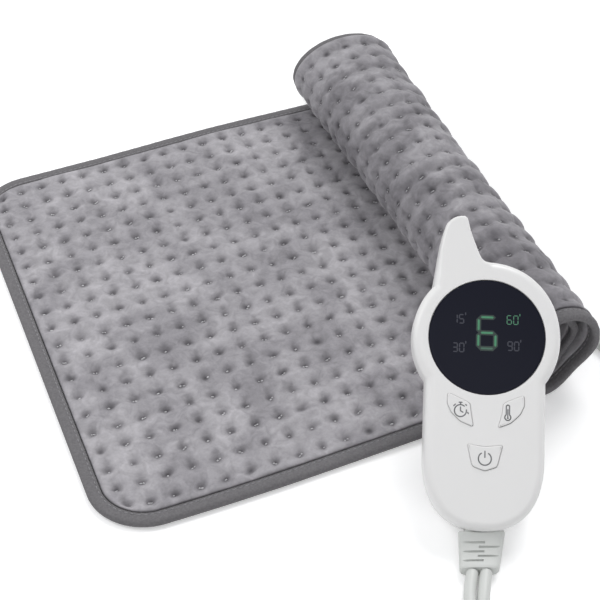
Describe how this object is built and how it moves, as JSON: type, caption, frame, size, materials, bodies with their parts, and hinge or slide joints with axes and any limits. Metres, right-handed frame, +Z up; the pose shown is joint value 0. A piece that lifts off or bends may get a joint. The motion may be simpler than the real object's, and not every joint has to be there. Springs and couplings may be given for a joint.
{
  "type": "heating pad with controller",
  "caption": "Plush electric heating pad, half unrolled, with a keyhole-shaped digital hand controller, push buttons, a slotted strain relief, a mains cord with plug and a pad cord.",
  "frame": {"origin": "on the floor, at the centre of the flat underside of the pad's unrolled stretch", "axes": "+X along the pad's length from its free end towards the roll, +Y across the pad from the controller's side to the far edge, +Z up"},
  "size_m": [0.3196, 0.5517, 0.1064],
  "materials": {
    "plush_cloth": "short-pile plush",
    "binding_tape": "folded tape",
    "white_felt": "needle felt",
    "wire_sheath": "smooth",
    "white_case": "glossy",
    "dark_window": "polished",
    "button_grey": "satin",
    "cord_rubber": "satin",
    "circuit_board": "satin",
    "black_plastic": "satin",
    "blue_film": "glossy",
    "fuse_glass": "clear",
    "steel": "plated",
    "brass": "plain"
  },
  "bodies": {
    "heating_pad": {"pad_top_cover": "plush_cloth", "pad_bottom_cover": "plush_cloth", "carrier_felt": "white_felt", "heating_wire": "wire_sheath", "edge_binding": "binding_tape", "end_hem": "binding_tape", "front_shell": "white_case", "rear_shell": "white_case", "display_window": "dark_window", "circuit_board": "circuit_board", "digit_display": "black_plastic", "timer_switch": "black_plastic", "temperature_switch": "black_plastic", "power_switch": "black_plastic", "case_screw_1": "steel", "case_screw_2": "steel", "case_screw_3": "steel", "case_screw_4": "steel", "relay": "black_plastic", "film_capacitor": "blue_film", "terminal_block": "black_plastic", "controller_chip": "black_plastic", "fuse": "fuse_glass", "strain_relief": "cord_rubber", "lead_1": "wire_sheath", "lead_2": "wire_sheath", "lead_3": "wire_sheath", "lead_4": "wire_sheath", "mains_cord": "cord_rubber", "mains_coil": "cord_rubber", "cord_tie": "black_plastic", "mains_plug": "cord_rubber", "plug_blade_left": "brass", "plug_blade_right": "brass", "mains_tail": "cord_rubber", "pad_cord": "cord_rubber", "pad_socket": "black_plastic", "socket_pin_left": "brass", "socket_pin_right": "brass", "pad_plug": "cord_rubber"},
    "timer_button": {"timer_button": "button_grey", "timer_plunger": "black_plastic"},
    "temperature_button": {"temperature_button": "button_grey", "temperature_plunger": "black_plastic"},
    "power_button": {"power_button": "button_grey", "power_plunger": "black_plastic"}
  },
  "joints": [
    {"name": "timer_press", "type": "slide", "parent": "heating_pad", "child": "timer_button", "axis": [0.2511, 0.498, -0.83], "range_m": [0, 0.0005], "stiffness_N_per_m": 800},
    {"name": "temperature_press", "type": "slide", "parent": "heating_pad", "child": "temperature_button", "axis": [0.2511, 0.498, -0.83], "range_m": [0, 0.0005], "stiffness_N_per_m": 800},
    {"name": "power_press", "type": "slide", "parent": "heating_pad", "child": "power_button", "axis": [0.2511, 0.498, -0.83], "range_m": [0, 0.0005], "stiffness_N_per_m": 800}
  ]
}
